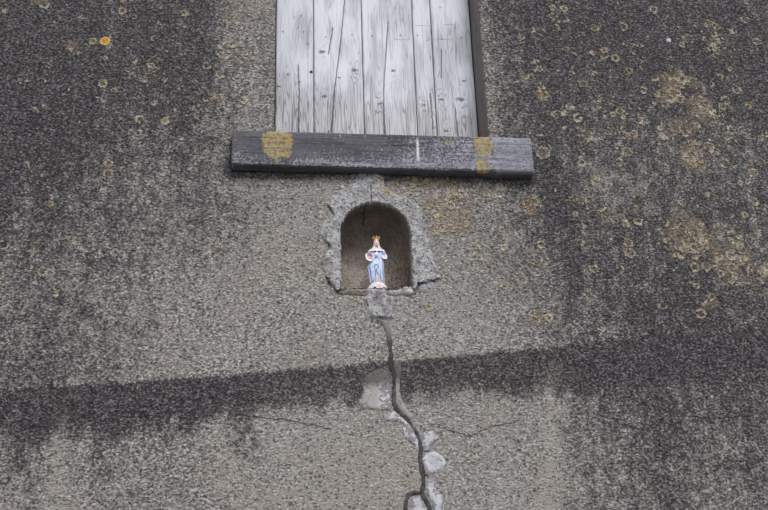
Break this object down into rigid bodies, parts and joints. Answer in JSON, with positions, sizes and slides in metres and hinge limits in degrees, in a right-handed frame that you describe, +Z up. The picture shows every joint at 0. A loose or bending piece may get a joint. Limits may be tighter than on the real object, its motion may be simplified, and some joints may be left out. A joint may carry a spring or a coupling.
{
  "type": "wall niche shrine",
  "caption": "Bay of rendered rubble barn wall with an arched niche holding a small crowned statue, under a boarded loft hatch on a projecting timber sill.",
  "frame": {"origin": "middle of the wall's foot: on the centre line of the hatch, half way through the wall's finished depth, at ground level", "axes": "+Z up; +X to the right seen from the front; the front with the niche faces -Y"},
  "size_m": [3.8, 0.55, 5.5],
  "materials": {
    "masonry": "matte",
    "roughcast": "matte",
    "reveal_plaster": "matte",
    "niche_mortar": "matte",
    "ring_mortar": "matte",
    "patch_mortar": "matte",
    "crack_filler": "matte",
    "sill_timber": "matte",
    "board_timber": "matte",
    "frame_timber": "matte",
    "statue_white": "gloss",
    "statue_blue": "gloss",
    "statue_flesh": "gloss",
    "statue_rose": "gloss",
    "crown_gilt": "satin"
  },
  "bodies": {
    "root": {"back_render": "roughcast", "crack_seal": "crack_filler", "frame_head": "frame_timber", "frame_post_left": "frame_timber", "frame_post_right": "frame_timber", "front_render": "roughcast", "hatch_board_1": "board_timber", "hatch_board_2": "board_timber", "hatch_board_3": "board_timber", "hatch_board_4": "board_timber", "hatch_board_5": "board_timber", "ledge_bottom": "frame_timber", "ledge_middle": "frame_timber", "ledge_top": "frame_timber", "lintel_inner": "sill_timber", "lintel_outer": "sill_timber", "niche_lining": "niche_mortar", "niche_lip": "ring_mortar", "niche_pier": "masonry", "niche_surround": "ring_mortar", "patch_crack_foot": "patch_mortar", "patch_crack_low": "patch_mortar", "patch_crack_round": "patch_mortar", "patch_crack_star": "patch_mortar", "patch_crack_strip": "patch_mortar", "patch_crack_top": "patch_mortar", "patch_under_niche": "ring_mortar", "reveal_floor": "reveal_plaster", "reveal_left": "reveal_plaster", "reveal_right": "reveal_plaster", "sill_beam": "sill_timber", "statue_base": "statue_white", "statue_collar": "statue_white", "statue_crown": "crown_gilt", "statue_gown": "statue_white", "statue_hands": "statue_flesh", "statue_head": "statue_flesh", "statue_mantle": "statue_blue", "statue_sleeve_left": "statue_blue", "statue_sleeve_right": "statue_blue", "statue_veil": "statue_rose", "wall_foot": "masonry", "wall_head": "masonry", "wall_left": "masonry", "wall_right": "masonry"}
  },
  "joints": []
}
